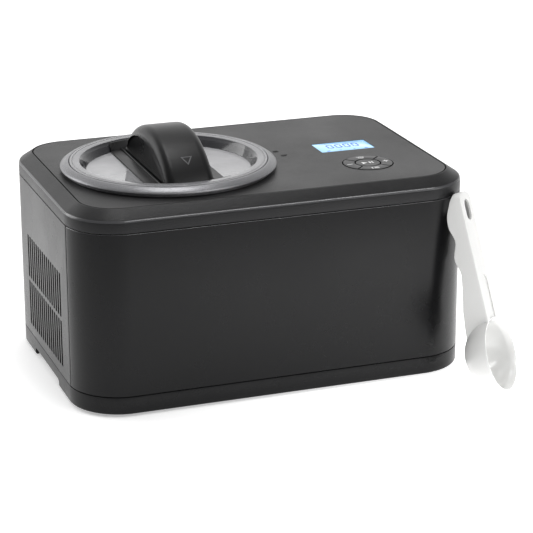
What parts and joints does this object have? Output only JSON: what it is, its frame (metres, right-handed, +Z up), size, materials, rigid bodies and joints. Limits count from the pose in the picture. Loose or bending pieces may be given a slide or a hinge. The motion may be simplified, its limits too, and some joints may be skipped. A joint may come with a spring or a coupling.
{
  "type": "ice cream maker",
  "caption": "Self-freezing ice cream maker: rounded casing, round twist-off lid with an arch handle over a lift-out bowl and paddle, lit display, keypad and a measuring scoop.",
  "frame": {"origin": "on the worktop, under the middle of the casing, at the level of the rubber feet's undersides", "axes": "+X to the right along the casing's length, +Y to the rear, +Z up"},
  "size_m": [0.4594, 0.3751, 0.262],
  "materials": {
    "casing_black": "smooth satin",
    "cover_black": "fine leather-free grain, satin",
    "ring_graphite": "fine metallic grain, satin",
    "clear_plastic": "polished",
    "lid_black": "satin",
    "rubber_black": "matt",
    "aluminium_satin": "spun satin",
    "copper_tube": "drawn",
    "steel_bright": "ground",
    "steel_black": "baked enamel",
    "gear_white": "moulded",
    "foam_white": "foamed",
    "board_green": "solder mask",
    "screen_blue": "lit display window",
    "key_black": "satin with pale symbols",
    "paddle_white": "moulded",
    "scoop_white": "moulded, semi-gloss",
    "zinc_fins": "rolled"
  },
  "bodies": {
    "housing": {"base_tray": "casing_black", "rubber_feet": "rubber_black", "front_panel": "casing_black", "rear_housing": "casing_black", "side_seam_strips": "casing_black", "top_cover": "cover_black", "corner_posts": "casing_black", "base_screws": "steel_bright", "lid_ring": "ring_graphite", "evaporator_pot": "aluminium_satin", "evaporator_coil": "copper_tube", "pot_insulation": "foam_white", "shaft_bush": "gear_white", "shaft_seal": "rubber_black", "mid_gear_pin": "steel_bright", "drive_motor": "steel_bright", "gearbox_case": "casing_black", "gearbox_lid": "casing_black", "compressor": "steel_black", "compressor_plate": "steel_black", "compressor_grommets": "rubber_black", "condenser_fins": "zinc_fins", "condenser_tube": "copper_tube", "fan_shroud": "casing_black", "fan_motor": "steel_black", "filter_drier": "copper_tube", "suction_tube": "copper_tube", "discharge_tube": "copper_tube", "liquid_tube": "copper_tube", "mains_inlet": "lid_black", "inlet_pins": "steel_bright", "power_board": "board_green", "control_board": "board_green", "tact_switches": "key_black", "key_guide": "casing_black", "display_lens": "screen_blue", "display_module": "gear_white"},
    "lid_seal": {"lid_gasket": "rubber_black"},
    "lid": {"clear_lid": "clear_plastic", "lid_tray": "lid_black", "lid_handle": "lid_black"},
    "ice_bowl": {"bowl": "aluminium_satin"},
    "paddle": {"mixing_paddle": "paddle_white"},
    "drive": {"drive_shaft": "steel_bright", "output_gear": "gear_white"},
    "reduction": {"mid_gear": "gear_white"},
    "motor_rotor": {"motor_shaft": "steel_bright", "motor_pinion": "gear_white"},
    "fan": {"fan_rotor": "casing_black"},
    "scoop": {"measuring_scoop": "scoop_white"},
    "start_button": {"start_key": "key_black"},
    "plus_button": {"plus_key": "key_black"},
    "timer_button": {"timer_key": "key_black"},
    "minus_button": {"minus_key": "key_black"},
    "menu_button": {"menu_key": "key_black"}
  },
  "joints": [
    {"name": "lid_lift", "type": "slide", "parent": "housing", "child": "lid_seal", "axis": [0, 0, 1], "range_m": [0, 0.3]},
    {"name": "lid_turn", "type": "hinge", "parent": "lid_seal", "child": "lid", "pos_m": [-0.077, -0.007, 0.215], "axis": [0, 0, -1], "range_deg": [0, 30]},
    {"name": "bowl_lift", "type": "slide", "parent": "housing", "child": "ice_bowl", "axis": [0, 0, 1], "range_m": [0, 0.13]},
    {"name": "drive_spin", "type": "hinge", "parent": "housing", "child": "drive", "pos_m": [-0.077, -0.007, 0.06], "axis": [0, 0, 1], "continuous": true},
    {"name": "paddle_lift", "type": "slide", "parent": "drive", "child": "paddle", "axis": [0, 0, 1], "range_m": [0, 0.25]},
    {"name": "reduction_spin", "type": "hinge", "parent": "housing", "child": "reduction", "pos_m": [-0.04411, 0.00497, 0.06], "axis": [0, 0, 1], "continuous": true},
    {"name": "motor_spin", "type": "hinge", "parent": "housing", "child": "motor_rotor", "pos_m": [-0.03214, 0.03786, 0.06], "axis": [0, 0, 1], "continuous": true},
    {"name": "fan_spin", "type": "hinge", "parent": "housing", "child": "fan", "pos_m": [0.17, 0, 0.08], "axis": [1, 0, 0], "continuous": true},
    {"name": "scoop_lift", "type": "slide", "parent": "housing", "child": "scoop", "axis": [0, 0, 1], "range_m": [0, 0.2]},
    {"name": "start_press", "type": "slide", "parent": "housing", "child": "start_button", "axis": [0, 0, -1], "range_m": [0, 0.0012], "stiffness_N_per_m": 300, "springref_m": -0.001},
    {"name": "plus_press", "type": "slide", "parent": "housing", "child": "plus_button", "axis": [0, 0, -1], "range_m": [0, 0.0012], "stiffness_N_per_m": 300, "springref_m": -0.001},
    {"name": "timer_press", "type": "slide", "parent": "housing", "child": "timer_button", "axis": [0, 0, -1], "range_m": [0, 0.0012], "stiffness_N_per_m": 300, "springref_m": -0.001},
    {"name": "minus_press", "type": "slide", "parent": "housing", "child": "minus_button", "axis": [0, 0, -1], "range_m": [0, 0.0012], "stiffness_N_per_m": 300, "springref_m": -0.001},
    {"name": "menu_press", "type": "slide", "parent": "housing", "child": "menu_button", "axis": [0, 0, -1], "range_m": [0, 0.0012], "stiffness_N_per_m": 300, "springref_m": -0.001}
  ],
  "couplings": [
    {"joint": "bowl_lift", "follows": "lid_lift", "ratio": 0.43},
    {"joint": "paddle_lift", "follows": "lid_lift", "ratio": 0.83},
    {"joint": "reduction_spin", "follows": "drive_spin", "ratio": -4},
    {"joint": "motor_spin", "follows": "drive_spin", "ratio": 16}
  ]
}
